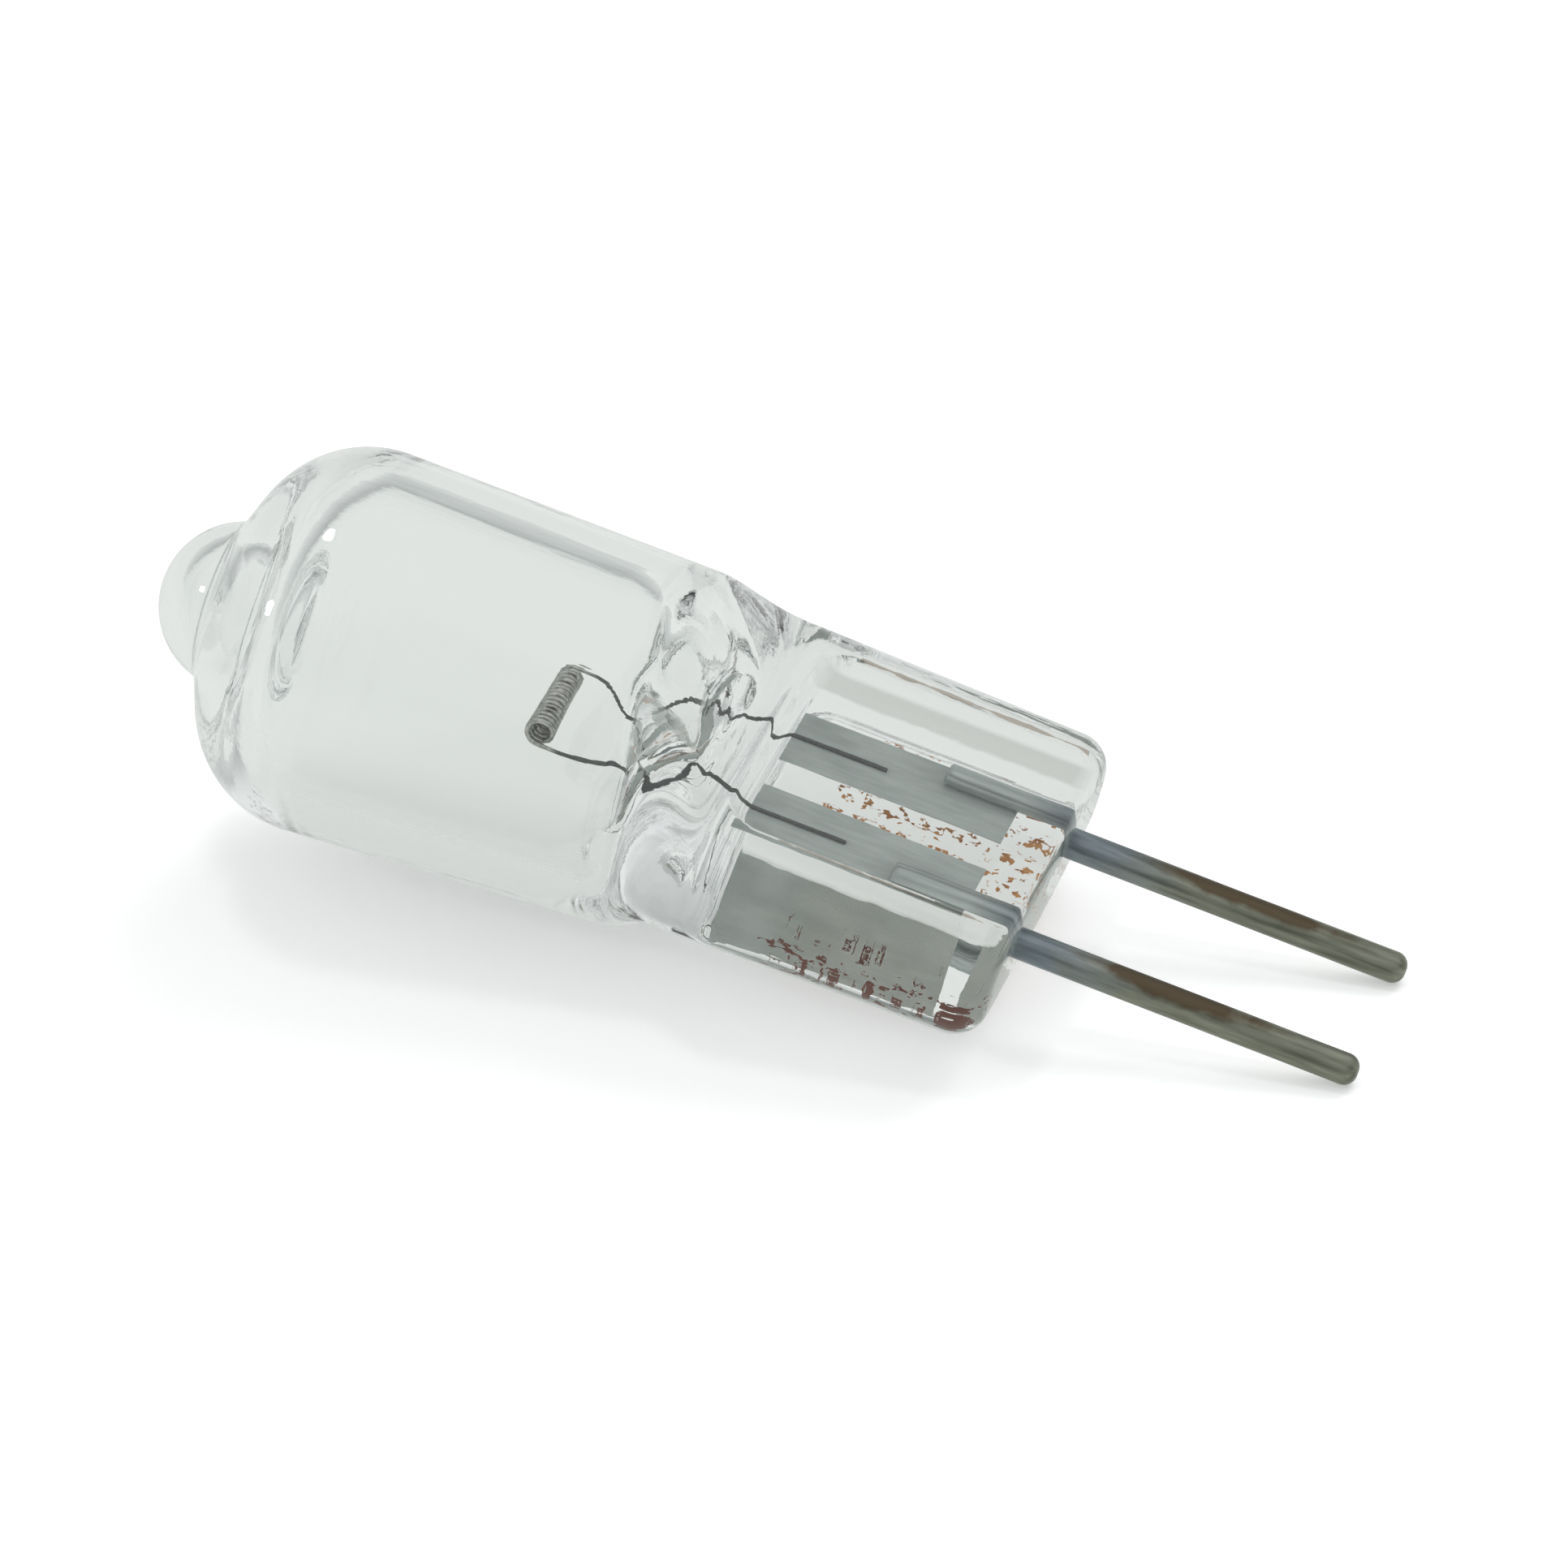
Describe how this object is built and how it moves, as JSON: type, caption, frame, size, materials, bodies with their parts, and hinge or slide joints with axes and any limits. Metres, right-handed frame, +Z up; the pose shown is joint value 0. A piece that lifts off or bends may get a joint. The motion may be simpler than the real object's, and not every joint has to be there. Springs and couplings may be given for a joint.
{
  "type": "microscope bulb",
  "caption": "Clear quartz capsule lamp for a microscope light: round bulb with a sealed exhaust pip, coiled filament across it, and a flat pinch that holds sealing foils and parallel pins.",
  "frame": {"origin": "on the surface the lamp lies on, under the middle of its length and width", "axes": "+X along the lamp from its pip towards its pins, +Y along the row of pins, +Z up; it lies at rest on the heel of its bulb and on the ends of its pins"},
  "size_m": [0.0282, 0.01, 0.0097],
  "materials": {
    "quartz": "clear fused quartz",
    "tungsten": "drawn wire",
    "molybdenum": "etched foil",
    "pin_metal": "drawn rod with brown oxide stains"
  },
  "bodies": {
    "root": {"quartz_envelope": "quartz", "filament": "tungsten", "foil_near": "molybdenum", "foil_far": "molybdenum", "pin_near": "pin_metal", "pin_far": "pin_metal"}
  },
  "joints": []
}
